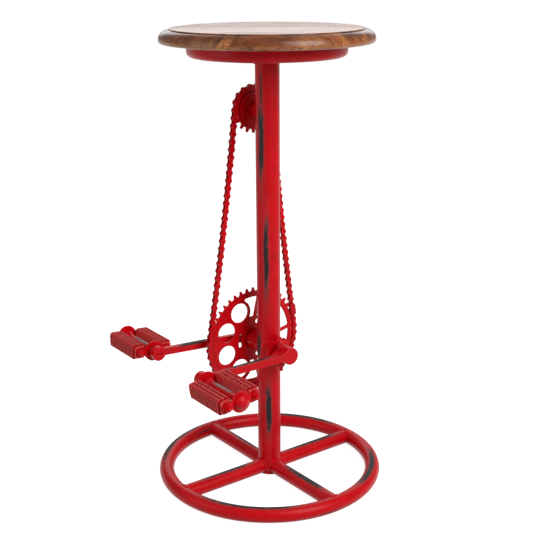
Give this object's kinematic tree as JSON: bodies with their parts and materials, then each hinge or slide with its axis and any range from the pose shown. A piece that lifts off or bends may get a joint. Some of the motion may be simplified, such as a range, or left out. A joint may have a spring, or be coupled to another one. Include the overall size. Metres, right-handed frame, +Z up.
{
  "type": "bar stool",
  "caption": "Round wooden bar stool on a red steel post and ring base, with bicycle cranks and block pedals as foot rests and a chain up to a freewheel under the seat.",
  "frame": {"origin": "on the floor, at the centre of the post's foot", "axes": "+Z up, crank arms towards -X, chain on the +Y side"},
  "size_m": [0.3997, 0.3939, 0.762],
  "materials": {
    "seat_wood": "glossy varnish over stained boards",
    "pan_paint": "satin paint, worn at edges",
    "post_paint": "satin paint, rubbed through in streaks",
    "base_paint": "satin paint, rubbed through on top",
    "crank_paint": "satin paint, worn at edges",
    "wheel_paint": "satin paint, worn at edges",
    "chain_paint": "thick satin paint",
    "pedal_paint": "satin paint, worn at edges",
    "pedal_rubber": "painted over, dark in the grooves",
    "bearing_steel": "bare steel inside the bearings"
  },
  "bodies": {
    "stool": {"seat": "seat_wood", "seat_pan": "pan_paint", "seat_screws": "pan_paint", "post": "post_paint", "base_ring": "base_paint", "base_spoke_1": "base_paint", "base_spoke_2": "base_paint", "base_spoke_3": "base_paint", "base_spoke_4": "base_paint", "bracket_shell": "crank_paint", "fixed_cup": "crank_paint", "adjustable_cup": "crank_paint", "lock_ring": "crank_paint", "crank_axle": "bearing_steel", "bracket_balls": "bearing_steel", "left_crank_arm": "crank_paint", "right_crank_arm": "crank_paint", "cotter_pins": "crank_paint", "cotter_washers": "crank_paint", "cotter_nuts": "crank_paint", "chainwheel": "wheel_paint", "freewheel_stub": "wheel_paint", "freewheel_body": "wheel_paint", "freewheel_sprocket": "wheel_paint", "freewheel_cover_ring": "wheel_paint", "chain_outer_plates": "chain_paint", "chain_inner_plates": "chain_paint", "chain_rollers": "chain_paint", "chain_pins": "chain_paint", "chain_joining_plate": "chain_paint", "left_pedal_spindle": "pedal_paint", "left_pedal_cone_nut": "bearing_steel", "left_pedal_balls": "bearing_steel", "right_pedal_spindle": "pedal_paint", "right_pedal_cone_nut": "bearing_steel", "right_pedal_balls": "bearing_steel"},
    "left_pedal": {"left_pedal_barrel": "pedal_paint", "left_pedal_inner_plate": "pedal_paint", "left_pedal_outer_plate": "pedal_paint", "left_pedal_front_rubber": "pedal_rubber", "left_pedal_rear_rubber": "pedal_rubber", "left_pedal_bolts": "pedal_paint", "left_pedal_nuts": "pedal_paint", "left_pedal_dust_cap": "pedal_paint"},
    "right_pedal": {"right_pedal_barrel": "pedal_paint", "right_pedal_inner_plate": "pedal_paint", "right_pedal_outer_plate": "pedal_paint", "right_pedal_front_rubber": "pedal_rubber", "right_pedal_rear_rubber": "pedal_rubber", "right_pedal_bolts": "pedal_paint", "right_pedal_nuts": "pedal_paint", "right_pedal_dust_cap": "pedal_paint"}
  },
  "joints": [
    {"name": "left_pedal_spin", "type": "hinge", "parent": "stool", "child": "left_pedal", "pos_m": [-0.17, -0.0641, 0.233], "axis": [0, 1, 0], "continuous": true},
    {"name": "right_pedal_spin", "type": "hinge", "parent": "stool", "child": "right_pedal", "pos_m": [-0.17, 0.0885, 0.233], "axis": [0, 1, 0], "continuous": true}
  ]
}
